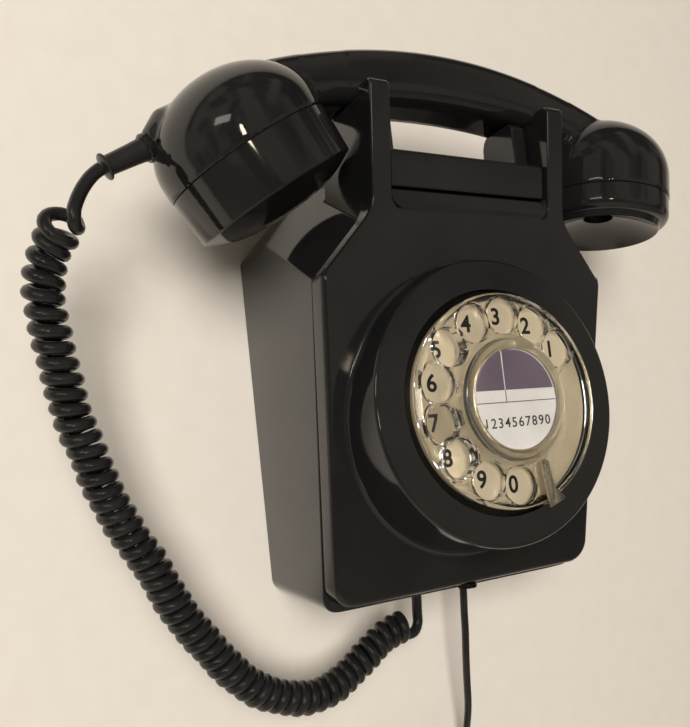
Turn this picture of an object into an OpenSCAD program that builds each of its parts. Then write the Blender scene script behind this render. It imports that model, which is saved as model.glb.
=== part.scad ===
// Wall-mounted rotary telephone with a separate handset.
// +X is to the right as the user faces it, the front faces -Y, +Z is up.
// The wall is the plane y = 0 and the origin is the centre of the four wall-screw holes.
// "Depth" always means the distance in front of the wall, so y = -depth.

/* [Case] */
// Half width of the case at the shoulders
case_half_w = 63.5; // [61:0.5:66]
// Half width of the case at its bottom edge
base_half_w = 60; // [57:0.5:62]
// Height of the bottom edge, below the origin
case_bottom = -67; // [-72:0.5:-64]
// Depth of the front face at the bottom edge
face_d_bottom = 65; // [62:0.5:68]
// Depth of the front face at the shoulders
face_d_shoulder = 84.6; // [82:0.2:87]
// Depth of the front face at the top of the horns
face_d_top = 93; // [91:0.5:95]
// Wall thickness of the mouldings
wall = 2.6; // [2.2:0.1:3]

/* [Neck and horns] */
// Half width over the two cheeks that carry the handset
neck_half_w = 43.5; // [42:0.5:45]
// Thickness of each cheek
cheek_t = 8; // [6:0.5:9]
// Height of the horns
horn_top = 116.5; // [114:0.5:118]
// Height of the saddle that the handle lies in
saddle_z = 115; // [114:0.1:115.1]

/* [Dial] */
// Radius of the finger wheel
wheel_r = 39; // [38:0.5:40]
// Backward tilt of the dial, in degrees
dial_tilt = 2.9; // [0:0.1:6]
// Height of the dial's centre
dial_z = 3; // [1:0.5:5]
// Depth of the dial boss's front rim at the dial's centre
boss_d = 94.2; // [93:0.2:96]
// Radius of the dial boss at its rim
boss_r = 52.6; // [51:0.2:54]
// Radius of a finger hole
finger_hole_r = 6.8; // [6:0.1:7]
// Angle between two finger holes, in degrees
hole_pitch = 26; // [25:0.5:27]

/* [Handset] */
// Depth of the handset's centreline
handset_d = 67.5; // [66:0.5:69]
// Radius of the transmitter cap
mouth_r = 31; // [29:0.5:31.5]
// Radius of the receiver cap
ear_r = 30; // [28:0.5:30.5]
// Inward tilt of the transmitter cap, in degrees
mouth_tilt = 33; // [30:1:35]
// Inward tilt of the receiver cap, in degrees
ear_tilt = 7; // [4:1:10]

/* [Cords] */
// Thickness of the handset cord's wire
curl_wire = 4.4; // [4:0.1:4.6]
// Outer diameter of the curled part
curl_outer = 13.4; // [12.6:0.2:14]
// Thickness of the line cord
line_wire = 3.4; // [3:0.1:3.8]

/* [Hidden] */
big = 300;
fit = 0.3;
black = [0.03, 0.03, 0.032];
steel = [0.62, 0.62, 0.64];
brass = [0.75, 0.6, 0.3];
copper = [0.72, 0.42, 0.25];
clear = [0.85, 0.87, 0.88, 0.45];
champagne = [0.72, 0.66, 0.54];

// Heights on the front outline: shoulders, foot of the neck, recess between the horns.
shoulder_z = 49.2;
neck_z = 73.3;
recess_z = 73.4;
bar_gap_z = 81.4;
neck_flare = 14;
recess_corner = 5;
// The front cover is a tray this deep, with an open joint line behind it.
tray_d = 9;
joint_gap = 1.2;
rebate = 1.4;
// The neck is a box that stands in front of this depth and reaches down to this height.
neck_back_d = 49;
neck_skirt_z = 53;
floor_z = 76;
inner_x = neck_half_w - cheek_t;
rear_bottom = case_bottom - 3;
rear_shoulder_z = 72;
rear_top_z = 95;

// Wall screws, on a rectangle about the origin.
wall_hole_x = 48;
wall_hole_z = 52;
wall_hole_r = 2.4;
plate_t = 1.6;

// Cord exits in the bottom of the case, and the cover's fixing screw.
curl_exit = [-5, 28];
line_exit = [21.5, 25];
gland_r = 5;
screw_d = 60.5;

// The cradle's hinge line.
pivot_d = 54;
pivot_z = 92;
pin_r = 1.5;
running = 0.06;
bar_x = inner_x - 0.8;
pad_z = 115.8;
pad_t = 6.5;

// Dial stack, measured outward from the boss rim along the dial's own axis.
rim_t = 3;
boss_draft = 4;
plate_r = 38.2;
dial_hole_r = 41.4;
hole_ring_r = 30.6;
first_hole = 36;
hub_r = 22.2;
stop_turn = -70.5;
card_r = 18;
hub_z = 6.6;
shaft_r = 2.5;
screw_ring_r = 43.8;
screw_turns = [90, 210, 330];
can_back = -29.4;
gear_m = 0.6;
gear_teeth = 60;
pinion_teeth = 12;
pinion_x = gear_m * (gear_teeth + pinion_teeth) / 2 + 0.15;

// Ringer.
gong_x = 25;
gong_z = -38;
gong_r = 20.5;
hammer_d = 24;
hammer_z = -15.5;

// Handset: seam centres of the two caps, and the cord entry.
mouth_x = -80;
mouth_z = 95;
mouth_h = 17.5;
// The crowned face of the transmitter cap, as radius and rise above the cap's wall.
mouth_face = [[28, 0.9], [24.5, 2.6], [20, 4.1], [14, 5.3], [7, 5.9], [0, 6.1]];
ear_x = 84;
ear_z = 88.5;
ear_h = 10.8;
handle_half_d = 12.5;
entry = [-113, 64, 96];
entry_turn = -119.4;
sleeve_l = 17.5;

// Routes of the cords, as [x, depth, z].
lead_route = [
    [-128.7, 64, 87.2], [-131.4, 64, 84.6], [-134.6, 63.8, 80.3], [-137.2, 63.2, 76.1], [-139.5, 62, 71.5],
    [-142, 60, 67.5], [-145, 57, 63]];
curl_route = [
    [-145, 57, 63], [-147, 55, 56], [-147, 53, 47], [-145, 50, 34], [-143, 48, 24], [-140, 46, 9],
    [-136, 44, -2], [-133, 43, -12], [-128, 41, -24], [-123, 40, -34], [-117, 39, -44], [-112, 38, -55],
    [-106, 37, -66], [-99, 36, -76], [-91, 35, -87], [-81, 34, -97], [-70, 33, -103], [-59, 32, -106],
    [-49, 31, -105], [-40, 30, -101], [-31, 30, -95], [-23, 29, -90], [-16, 29, -86]];
tail_route = [
    [-16, 29, -86], [-13, 29, -87.5], [-10, 28.5, -90.6], [-7, 28, -89.8], [-5.5, 28, -86], [-5, 28, -80],
    [-5, 28, -71.2]];
line_route = [
    [21.5, 25, -71.2], [21.5, 25, -80], [21, 25, -89], [21, 24.5, -98], [21.2, 23, -109], [22.2, 20.5, -121],
    [23.6, 17.5, -134], [25, 12.5, -146], [25.6, 7.5, -156], [24.5, 3.4, -166], [22.6, 3, -175]];
plug_route = [[29, 13, -196], [29, 11.6, -203], [29, 10.2, -208.6], [29, 10, -212.98]];
// The line cord's spare length hangs on the wall as a round coil.
coil_c = [2.5, 9.5, -184];
coil_mid_r = 23;
coil_half = 6;

function face_d(z) = z < shoulder_z
    ? face_d_bottom + (face_d_shoulder - face_d_bottom) * (z - case_bottom) / (shoulder_z - case_bottom)
    : face_d_shoulder + (face_d_top - face_d_shoulder) * (z - shoulder_z) / (horn_top - shoulder_z);

// Points of an arc about c from angle a0 to a1, in n steps.
function arc(c, r, a0, a1, n = 8) =
    [for (i = [0:n]) c + r * [cos(a0 + (a1 - a0) * i / n), sin(a0 + (a1 - a0) * i / n)]];
function flip(pts) = [for (i = [len(pts) - 1:-1:0]) [-pts[i][0], pts[i][1]]];
function unit(v) = v / norm(v);

// A closed skin over rings of points, each ring with the same number of points.
module ring_skin(rings) {
    n = len(rings);
    m = len(rings[0]);
    polyhedron(
        [for (ring = rings, p = ring) p],
        concat(
            [[for (j = [m - 1:-1:0]) j]],
            [for (i = [0:n - 2], j = [0:m - 1]) [i * m + j, i * m + (j + 1) % m, (i + 1) * m + j]],
            [for (i = [0:n - 2], j = [0:m - 1])
                [i * m + (j + 1) % m, (i + 1) * m + (j + 1) % m, (i + 1) * m + j]],
            [[for (j = [0:m - 1]) (n - 1) * m + j]]));
}
// A round tube along a route of [x, depth, z] points.
module tube(route, r, sides = 8) {
    p = [for (q = route) [q[0], -q[1], q[2]]];
    n = len(p);
    ring_skin([for (i = [0:n - 1])
        let (t = unit(p[min(i + 1, n - 1)] - p[max(i - 1, 0)]),
             u = unit(cross([0, 1, 0], t)), v = cross(t, u))
        [for (j = [0:sides - 1]) p[i] + r * (cos(360 * j / sides) * u + sin(360 * j / sides) * v)]]);
}

// Extrudes an (x, z) outline from depth d0 to depth d1.
module outline_block(d0, d1) translate([0, -d0, 0]) rotate([90, 0, 0]) linear_extrude(d1 - d0) children();
// Extrudes a (depth, z) profile over the width from x0 to x1.
module profile_block(x0, x1) translate([x1, 0, 0]) rotate([90, 0, -90]) linear_extrude(x1 - x0) children();
// A round bar along the depth, at (x, z).
module rod(x, z, d0, d1, r) translate([x, -d0, z]) rotate([90, 0, 0]) cylinder(h = d1 - d0, r = r, $fn = 48);
// A box given by its x, depth and z ranges.
module slab(x, d, z) translate([x[0], -d[1], z[0]]) cube([x[1] - x[0], d[1] - d[0], z[1] - z[0]]);
// A disc, in a frame whose axis is z, from z0 to z1.
module disc(r, z0, z1) translate([0, 0, z0]) cylinder(h = z1 - z0, r = r, $fn = 96);
module hoop(r_in, r_out, z0, z1) difference() {
    disc(r_out, z0, z1);
    disc(r_in, z0 - 1, z1 + 1);
}
module at_dial() translate([0, -boss_d, dial_z]) rotate([90 - dial_tilt, 0, 0]) children();
module at_pinion() at_dial() translate([pinion_x, 0, 0]) children();
module at_mouth() translate([mouth_x, -handset_d, mouth_z]) rotate([0, 180 - mouth_tilt, 0]) children();
module at_ear() translate([ear_x, -handset_d, ear_z]) rotate([0, 180 + ear_tilt, 0]) children();
module at_entry() translate([entry[0], -entry[1], entry[2]]) rotate([0, entry_turn, 0]) children();
module at_hinge(x0, x1) translate([x0, -pivot_d, pivot_z]) rotate([0, 90, 0])
    linear_extrude(x1 - x0) children();

// ---- case ----
function lower_corner(inset, r, z) = arc([base_half_w - r, z + r], r - inset, -90, -2);
function cover_half(inset) = concat(lower_corner(inset, 9, case_bottom),
    arc([case_half_w - 4.5, shoulder_z - 1], 4.5 - inset * 0.9, 0, 50, 4),
    [[neck_half_w - inset, neck_z - inset * 0.5], [neck_half_w - inset, recess_z]]);
// The fillet where the shoulder slope runs up into the cheek.
function neck_fillet(p, slope_foot) = let (
    u = unit(slope_foot - p),
    t = neck_flare / tan(acos(u[1]) / 2),
    c = p + [neck_flare, t],
    a = p + t * u - c)
    arc(c, neck_flare, atan2(a[1], a[0]), -180, 6);
// The outer outline, with that fillet and a rounded corner at the foot of the recess between the cheeks.
function cover_outline() = let (shoulder = arc([case_half_w - 4.5, shoulder_z - 1], 4.5, 0, 50, 4))
    concat(lower_corner(0, 9, case_bottom), shoulder,
        neck_fillet([neck_half_w, neck_z], shoulder[4]),
        arc([inner_x - recess_corner, recess_z + recess_corner], recess_corner, 0, -90, 5));
function rear_half(inset) = concat(lower_corner(inset, 6, rear_bottom),
    arc([case_half_w - 4, rear_shoulder_z], 4 - inset, 0, 39, 3),
    arc([43, rear_top_z - 4], 4 - inset, 39, 90, 3));
module both_halves(half) polygon(concat(half, flip(half)));

// Everything between two surfaces parallel to the front face, f and b behind it.
module face_layer(f, b) profile_block(-big / 2, big / 2) polygon([
    [face_d(rear_bottom) - b, rear_bottom], [face_d(rear_bottom) - f, rear_bottom],
    [face_d_shoulder - f, shoulder_z], [face_d(horn_top) - f, horn_top],
    [face_d(horn_top) - b, horn_top], [face_d_shoulder - b, shoulder_z]]);

// Removes what lies above the shoulder slopes, which fall outward and forward.
module shoulder_cut(inset) {
    fall = [1.205, 0.55, 1];
    drop = inset * norm(fall);
    for (side = [-1, 1])
        translate([side * case_half_w, -(face_d_shoulder - tray_d), shoulder_z - drop])
            rotate([0, acos(1 / norm(fall)), atan2(-fall[1], side * fall[0])])
                translate([-big, -big, 0]) cube([2 * big, 2 * big, big]);
}
module rear_form(inset, back) difference() {
    intersection() {
        outline_block(back, 100) both_halves(rear_half(inset));
        face_layer(tray_d + joint_gap, big);
    }
    shoulder_cut(inset);
}
module exit_holes(r) for (at = [curl_exit, line_exit])
    translate([at[0], -at[1], rear_bottom - 1]) cylinder(h = 5, r = r, $fn = 48);

module rear_case() color(black) {
    tab_d = [48, 63];
    difference() {
        rear_form(0, 0);
        rear_form(wall, -1);
        slab([-neck_half_w - fit, neck_half_w + fit], [neck_back_d - fit, 100], [neck_skirt_z, 130]);
        exit_holes(gland_r);
    }
    // The tab that the cover screw bites into.
    difference() {
        slab([-7, 7], tab_d, [rear_bottom + wall - 0.2, case_bottom + wall + 4]);
        translate([0, -screw_d, case_bottom]) cylinder(h = 20, r = 2, $fn = 48);
        slab([-8, 8], [54.5, 70], [rear_bottom, case_bottom + wall + fit]);
    }
}

module chassis_plate() color(steel) difference() {
    outline_block(0, plate_t) both_halves(rear_half(wall));
    for (sx = [-1, 1], sz = [-1, 1]) rod(sx * wall_hole_x, sz * wall_hole_z, -1, 3, wall_hole_r);
    slab([-14, 14], [-1, 3], [66, 76]);
}

module cheek(x0) profile_block(x0, x0 + cheek_t) polygon(concat(
    [[neck_back_d, neck_skirt_z], [face_d(neck_skirt_z) - 1, neck_skirt_z],
        [face_d(recess_z - 4), recess_z - 4], [face_d(115), 115]],
    arc([face_d(115) - 3.2, 115], 3.2, 10, 90, 4),
    [[84.5, 118.2], [82.5, saddle_z], [58, saddle_z]],
    arc([53, 115.2], 3, 40, 180, 5)));

module front_cover() color(black) difference() {
    union() {
        difference() {
            union() {
                intersection() {
                    outline_block(40, 100) both_halves(cover_outline());
                    face_layer(0, tray_d);
                }
                intersection() {
                    outline_block(40, 100) both_halves(cover_half(rebate));
                    face_layer(1, tray_d + joint_gap);
                }
            }
            intersection() {
                outline_block(30, 100) both_halves(cover_half(wall));
                face_layer(wall, 40);
            }
        }
        intersection() {
            at_dial() translate([0, 0, -36])
                cylinder(h = 36, r1 = boss_r + boss_draft, r2 = boss_r, $fn = 96);
            face_layer(-60, wall);
        }
        for (x0 = [-neck_half_w, inner_x]) cheek(x0);
        slab([-inner_x - 1, inner_x + 1], [neck_back_d, 80], [floor_z - wall, floor_z]);
        slab([-inner_x - 1, inner_x + 1], [neck_back_d, neck_back_d + wall], [neck_skirt_z, floor_z]);
        // The sloping facet below the cradle bar.
        profile_block(-inner_x - 1, inner_x + 1) polygon([[78, floor_z - wall],
            [face_d(recess_z) - 1, floor_z - wall], [face_d(recess_z), recess_z],
            [86.2, bar_gap_z], [84, bar_gap_z], [78, floor_z]]);
    }
    at_dial() {
        disc(boss_r - 3, -34, -rim_t);
        disc(dial_hole_r, -20, 5);
        for (a = screw_turns) rotate(a) translate([screw_ring_r, 0, -5]) cylinder(h = 4, r = 1.2, $fn = 32);
    }
    slab([-6, 6], [neck_back_d + wall, 71], [floor_z - wall - 1, floor_z + 1]);
    at_hinge(-inner_x - 4, inner_x + 4) circle(pin_r, $fn = 48);
    translate([0, -screw_d, case_bottom - 1]) cylinder(h = 4, r = 2.2, $fn = 48);
}

module cover_screw() color(steel) translate([0, -screw_d, 0]) {
    translate([0, 0, case_bottom - 2]) cylinder(h = 2, r = 3.8, $fn = 48);
    translate([0, 0, case_bottom - 1]) cylinder(h = wall + 5, r = 2, $fn = 48);
}

// ---- cradle and switch ----
module cradle_bar() color(black) difference() {
    union() {
        profile_block(-bar_x, bar_x) polygon([[83.6, bar_gap_z + 0.8], [86.6, bar_gap_z + 0.8],
            [88, 93.4], [87.3, 95.2], [85.6, 96], [pivot_d, 96], [pivot_d, 93], [84.6, 93]]);
        at_hinge(-bar_x, bar_x) circle(3.8, $fn = 48);
        for (x0 = [-bar_x, bar_x - pad_t]) profile_block(x0, x0 + pad_t) polygon([[58, 95], [80, 95],
            [79, pad_z - 2], [77, pad_z], [62, pad_z], [60, pad_z - 2]]);
        slab([-3, 3], [57.5, 61], [62, 94]);
    }
    at_hinge(-50, 50) circle(pin_r + running, $fn = 48);
}
module cradle_pin() color(steel) at_hinge(-inner_x - 4, inner_x + 4) circle(pin_r, $fn = 48);
module cradle_spring() color(steel) {
    turns = 5;
    steps = 12;
    rise = 15.9;
    tube([for (i = [0:turns * steps]) [20 + 4 * cos(360 * i / steps), 66 + 4 * sin(360 * i / steps),
        floor_z + 0.5 + rise * i / (turns * steps)]], 0.5, 6);
}
module switch_springs() color(brass) {
    slab([-7, 7], [neck_back_d + wall, 56.6], [55, 60]);
    for (d0 = [52.4, 54, 56], x0 = [-6, 1.5]) slab([x0, x0 + 4.5], [d0, d0 + 0.4], [59, 70]);
}

// ---- circuit ----
module circuit_board() color("darkgreen") difference() {
    slab([-41, 41], [12, 13.6], [18, 62]);
    for (sx = [-1, 1], z = [22, 58]) rod(sx * 37, z, 10, 15, 1.5);
}
module board_pillars() color(brass) for (sx = [-1, 1], z = [22, 58]) {
    rod(sx * 37, z, plate_t, 12, 3);
    rod(sx * 37, z, 11, 15, 1.5);
}
module induction_coil() color(copper) {
    slab([-30, -8], [13.6, 16], [32, 52]);
    rod(-19, 42, 15, 30, 8);
    slab([-30, -8], [29, 31], [32, 52]);
}
module capacitor() color([0.7, 0.62, 0.35]) slab([4, 28], [13.6, 25], [36, 54]);
module terminal_block() color([0.85, 0.83, 0.76]) slab([-32, 32], [13.6, 21], [20, 29]);
module terminal_screws() color(brass) for (i = [0:7]) rod(-28 + 8 * i, 24.5, 21, 22.6, 2);
module gland(at, wire) translate([at[0], -at[1], 0]) difference() {
    union() {
        translate([0, 0, rear_bottom - 1.2]) cylinder(h = 1.2, r = gland_r + 1.5, $fn = 48);
        translate([0, 0, rear_bottom - 0.1]) cylinder(h = wall + 0.2, r = gland_r, $fn = 48);
        translate([0, 0, rear_bottom + wall]) cylinder(h = 1.2, r = gland_r + 1.5, $fn = 48);
    }
    translate([0, 0, rear_bottom]) cylinder(h = 5, r = wire / 2 + 0.35, $fn = 48);
}
module gland_handset() color(black) gland(curl_exit, curl_wire);
module gland_line() color(black) gland(line_exit, line_wire);
module cord_clamps() color(steel) for (at = [curl_exit, line_exit])
    slab([at[0] - 5, at[0] + 5], [plate_t, at[1] + 4], [-63.5, -61]);

// ---- ringer ----
module ringer_frame() color(steel) difference() {
    union() {
        slab([-32, 32], [plate_t, plate_t + 1.6], [-44, -8]);
        for (sx = [-1, 1]) rod(sx * gong_x, gong_z, plate_t, 31, 3.5);
        rod(0, hammer_z, plate_t, 10, 3.5);
    }
    rod(0, hammer_z, 4, 11, 1.2);
}
module ringer_coils() color(copper) for (sx = [-1, 1]) translate([sx * 10, -16, -12]) {
    cylinder(h = 22, r = 7.5, $fn = 48);
    cylinder(h = 1.5, r = 9, $fn = 48);
    translate([0, 0, 20.5]) cylinder(h = 1.5, r = 9, $fn = 48);
}
module ringer_magnet() color(steel) {
    slab([-20, 20], [9, 23], [10, 13]);
    slab([-20, 20], [plate_t, 9.5], [10, 13]);
}
module hammer() color(brass) difference() {
    union() {
        slab([-16, 16], [12, 20], [-17.5, -13.5]);
        slab([-1, 1], [19, hammer_d + 1], [-17.5, -15.5]);
        slab([-1, 1], [hammer_d - 1, hammer_d + 1], [-36, -15.5]);
        translate([0, -hammer_d, -37]) sphere(2.6, $fn = 32);
    }
    rod(0, hammer_z, 5, 22, 1.2 + running);
}
module hammer_pin() color(steel) rod(0, hammer_z, 4, 21.5, 1.2);
module gong(sx) color(brass) translate([sx * gong_x, -20, gong_z]) rotate([90, 0, 0])
    rotate_extrude($fn = 96) polygon(concat([[2, 12.2], [2, 11], [12, 11]],
        arc([gong_r - 7.7, 4.8], 6.2, 85, 0, 5), [[gong_r - 1.4, 0], [gong_r, 0]],
        arc([gong_r - 7.7, 4.8], 7.7, 0, 85, 5)));
module gong_left() gong(-1);
module gong_right() gong(1);
module gong_screws() color(steel) for (sx = [-1, 1]) {
    rod(sx * gong_x, gong_z, 32.3, 34.3, 4);
    rod(sx * gong_x, gong_z, 31, 33, 1.9);
}

// ---- dial ----
module dial_case() color(steel) difference() {
    at_dial() {
        disc(46, -rim_t - 1.4, -rim_t);
        disc(dial_hole_r - fit, -rim_t - 0.1, -2);
        hoop(35, 36.4, can_back + 1, -rim_t - 1);
        disc(36.4, can_back, can_back + 1.4);
    }
    at_dial() {
        disc(shaft_r + running, can_back - 1, 1);
        for (a = screw_turns) rotate(a) translate([screw_ring_r, 0, -10]) cylinder(h = 10, r = 1.2, $fn = 32);
    }
    at_pinion() disc(pin_r + running, can_back - 1, -rim_t + 0.4);
}
module number_plate() color(champagne) at_dial() hoop(6, plate_r, -2, 0.2);
module dial_screws() color(steel) at_dial() for (a = screw_turns) rotate(a) translate([screw_ring_r, 0, 0]) {
    translate([0, 0, -6]) cylinder(h = 1.6, r = 2.2, $fn = 32);
    translate([0, 0, -5]) cylinder(h = 3.9, r = 1.2, $fn = 32);
}
module finger_stop() color(steel) at_dial() rotate(stop_turn) {
    translate([0, 0, 5.8]) linear_extrude(1)
        polygon([[25, 0.2], [24.5, 1.2], [24.8, 2.7], [25.8, 3.5], [32, 2.1], [35.4, 1.9], [40.4, 4.3],
            [41, 3.6], [41, -3.4], [38.8, -3.4], [31.2, -1.5]]);
    translate([39.7, -3, -2]) cube([1.2, 6.2, 8.2]);
}
module finger_wheel() color(clear) at_dial() difference() {
    union() {
        disc(wheel_r, 2.2, 4.2);
        hoop(wheel_r - 1.8, wheel_r, 1.6, 4.8);
        disc(8, 0.5, 2.4);
        hoop(card_r - 2, hub_r, 4, hub_z);
    }
    disc(shaft_r, 0, 6);
    for (i = [0:9]) rotate(first_hole + i * hole_pitch)
        translate([hole_ring_r, 0, 0]) disc(finger_hole_r, 0, 6);
}
module dial_card() color([0.8, 0.78, 0.76]) at_dial() disc(card_r, hub_z, hub_z + 0.4);
module card_window() color(clear) at_dial() disc(card_r, hub_z + 0.4, hub_z + 1.8);
module card_ring() color(clear) at_dial() hoop(card_r, hub_r, hub_z, hub_z + 2.2);
module main_shaft() color(steel) at_dial() disc(shaft_r, can_back - 2, 4.2);
// A spur wheel with straight-sided teeth, narrow enough to leave running backlash.
module spur(teeth, half_tooth) {
    pitch_r = gear_m * teeth / 2;
    root_r = pitch_r - 0.62 * gear_m * 2;
    circle(root_r, $fn = 96);
    for (i = [0:teeth - 1]) rotate(360 * i / teeth) polygon([[root_r - 0.3, -half_tooth * 1.5],
        [pitch_r + 0.8 * gear_m, -half_tooth * 0.5], [pitch_r + 0.8 * gear_m, half_tooth * 0.5],
        [root_r - 0.3, half_tooth * 1.5]]);
}
module main_gear() color(brass) at_dial() translate([0, 0, -12]) linear_extrude(2) difference() {
    spur(gear_teeth, 0.36);
    circle(shaft_r, $fn = 48);
}
module pulse_cam() color([0.8, 0.78, 0.7]) at_dial() translate([0, 0, -17]) linear_extrude(2) difference() {
    union() {
        circle(12, $fn = 96);
        for (i = [0:9]) rotate(i * hole_pitch) translate([12, 0]) circle(1.6, $fn = 24);
    }
    circle(shaft_r, $fn = 48);
}
module pinion_shaft() color(steel) at_pinion() {
    disc(pin_r, can_back - 1, -rim_t - 0.2);
    translate([0, 0, -13]) rotate(180 / pinion_teeth) linear_extrude(4) spur(pinion_teeth, 0.36);
}
module governor_cup() color(brass) at_pinion() difference() {
    disc(11, can_back + 1.4, -19);
    disc(10, can_back + 2.6, -18);
    disc(pin_r + 0.5, can_back, -18);
}
module governor_weights() color(steel) at_pinion() difference() {
    union() {
        disc(3, -25, -20);
        for (a = [0, 180]) rotate(a) translate([2, -2.5, -25]) cube([6.6, 5, 4]);
    }
    disc(pin_r, -26, -19);
}
module mainspring() color(steel) at_dial() hoop(4, 10, can_back + 1.4, -22);
module pulse_contacts() color(brass) at_dial() {
    translate([-27, -14, can_back + 1.4]) cube([8, 9, 10]);
    for (z0 = [-19.2, -18.2]) translate([-26, -6, z0]) cube([6, 14, 0.4]);
    translate([-27, -7, -20]) cube([8, 2, 3]);
}

// ---- handset ----
function handle_top(x) = 139.5 - 0.0024 * x * x;
function handle_bottom(x) = 118.6 - 0.0018 * x * x;
function handle_ring(x) = let (z0 = handle_bottom(x), z1 = handle_top(x), w = handle_half_d) [
    for (p = concat(arc([w - 5, z1 - 5], 5, 10, 80, 3), arc([5 - w, z1 - 5], 5, 100, 170, 3),
        arc([6.5 - w, z0 + 6.5], 6.5, 190, 260, 3), arc([w - 6.5, z0 + 6.5], 6.5, 280, 350, 3)))
        [x, -handset_d - p[0], p[1]]];
// A cap's upper shell: a straight skirt, then an elliptical dome.
module dome(r, skirt, height) rotate([180, 0, 0]) rotate_extrude($fn = 96) polygon(concat([[0, 0], [r, 0]],
    [for (a = [0:10:90]) [(r + 0.4) * cos(a), skirt + (height - skirt) * sin(a)]]));

module handset_body() color(black) difference() {
    union() {
        ring_skin([for (x = [-76:8:84]) handle_ring(x)]);
        at_mouth() dome(mouth_r, 5, 29);
        at_ear() dome(ear_r, 10, 37);
        at_entry() translate([0, 0, -7]) cylinder(h = 7, r1 = 9.6, r2 = 5, $fn = 64);
        at_entry() disc(9.6, -16, -7);
    }
    at_mouth() disc(mouth_r + 3, 0, 40);
    at_ear() disc(ear_r + 3, 0, 40);
    at_mouth() disc(24, -9, 1);
    at_ear() disc(23, -12, 1);
    at_entry() disc(6, 0, 5);
}
module mouth_cap() color(black) at_mouth() difference() {
    rotate_extrude($fn = 96) polygon(concat([[24.4, 0], [mouth_r, 0], [mouth_r - 0.4, mouth_h - 1]],
        arc([mouth_r - 1.4, mouth_h - 1], 1, 0, 70, 3),
        [for (p = mouth_face) [p[0], mouth_h + p[1]]],
        [for (i = [len(mouth_face) - 1:-1:1]) [mouth_face[i][0] * 0.94, mouth_h + mouth_face[i][1] - 2.7]],
        [[24.4, mouth_h - 0.6]]));
    for (i = [0:5]) rotate(60 * i) translate([10, 0, 15]) cylinder(h = 20, r = 1.6, $fn = 24);
    translate([0, 0, 15]) cylinder(h = 20, r = 1.6, $fn = 24);
}
module ear_cap() color(black) at_ear() difference() {
    rotate_extrude($fn = 96) polygon(concat([[6.5, 3], [23, 3], [23, 0], [ear_r, 0], [ear_r, ear_h - 4]],
        arc([ear_r - 4, ear_h - 4], 4, 0, 90, 4), arc([0, ear_h + 40], 45.5, -62, -82, 4)));
}
module mouth_capsule() color(steel) at_mouth() disc(23.6, -9, 10.5);
module ear_capsule() color(steel) at_ear() disc(22.6, -12, 2.6);
module cord_block() color(black) at_entry() difference() {
    disc(4.9, 0, 2);
    disc(2.1, -1, 3);
}
module strain_relief() color(black) at_entry() {
    disc(3.6, 2, sleeve_l - 2.2);
    disc(4.4, sleeve_l - 2.2, sleeve_l);
}

// ---- cords ----
module handset_lead() color(black) tube(lead_route, curl_wire / 2);
module handset_curl() color(black) tube(curl_route, curl_outer / 2, 12);
module handset_tail() color(black) tube(tail_route, curl_wire / 2);
module line_cord() color(black) for (route = [line_route, plug_route]) tube(route, line_wire / 2);
module at_coil() translate([coil_c[0], -coil_c[1], coil_c[2]]) rotate([90, 0, 0]) children();
module line_coil() color(black) at_coil()
    hoop(coil_mid_r - coil_half, coil_mid_r + coil_half, -coil_half, coil_half);
module coil_tie() color([0.2, 0.2, 0.2]) at_coil() rotate(205) difference() {
    translate([coil_mid_r - coil_half - 0.8, -2, -coil_half - 0.8])
        cube([2 * coil_half + 1.6, 4, 2 * coil_half + 1.6]);
    translate([coil_mid_r - coil_half, -3, -coil_half]) cube([2 * coil_half, 6, 2 * coil_half]);
}
module line_plug() color([0.9, 0.88, 0.82]) slab([23, 35], [6, 14], [-238, -213]);

chassis_plate();
rear_case();
front_cover();
cover_screw();
cradle_bar();
cradle_pin();
cradle_spring();
switch_springs();
circuit_board();
board_pillars();
induction_coil();
capacitor();
terminal_block();
terminal_screws();
ringer_frame();
ringer_coils();
ringer_magnet();
hammer();
hammer_pin();
gong_left();
gong_right();
gong_screws();
gland_handset();
gland_line();
cord_clamps();
dial_case();
number_plate();
dial_screws();
finger_stop();
finger_wheel();
dial_card();
card_window();
card_ring();
main_shaft();
main_gear();
pulse_cam();
pinion_shaft();
governor_cup();
governor_weights();
mainspring();
pulse_contacts();
handset_body();
mouth_cap();
ear_cap();
mouth_capsule();
ear_capsule();
cord_block();
strain_relief();
handset_lead();
handset_curl();
handset_tail();
line_cord();
line_coil();
coil_tie();
line_plug();
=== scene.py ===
"""Looks of a wall-mounted rotary telephone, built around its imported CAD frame."""
import math

import bmesh
import bpy
import numpy as np
from mathutils import Matrix, Vector
from mathutils.bvhtree import BVHTree


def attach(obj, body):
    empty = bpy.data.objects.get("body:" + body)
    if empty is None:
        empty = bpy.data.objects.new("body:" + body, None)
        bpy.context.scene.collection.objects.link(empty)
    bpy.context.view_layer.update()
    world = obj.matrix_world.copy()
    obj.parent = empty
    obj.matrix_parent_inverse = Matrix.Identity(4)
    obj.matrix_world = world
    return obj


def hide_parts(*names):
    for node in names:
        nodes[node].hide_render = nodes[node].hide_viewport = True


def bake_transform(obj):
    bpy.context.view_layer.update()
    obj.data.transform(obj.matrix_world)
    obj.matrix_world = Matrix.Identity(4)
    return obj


MM = 0.001
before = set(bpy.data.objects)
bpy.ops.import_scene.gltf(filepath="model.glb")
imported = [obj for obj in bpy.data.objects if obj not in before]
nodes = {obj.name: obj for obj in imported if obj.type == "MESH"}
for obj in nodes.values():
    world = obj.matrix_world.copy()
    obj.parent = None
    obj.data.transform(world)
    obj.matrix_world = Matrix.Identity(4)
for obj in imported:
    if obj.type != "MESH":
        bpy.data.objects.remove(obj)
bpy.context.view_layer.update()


# ---- camera ----
# Heading, tilt and roll in degrees, and the place in metres.
CAMERA_HEADING = -28.35
CAMERA_TILT = 2.37
CAMERA_ROLL = 4.79
CAMERA_PLACE = (-0.16642, -0.30769, -0.00207)
CAMERA_LENS = 38.43
CAMERA_SHIFT_X = -0.048
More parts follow.
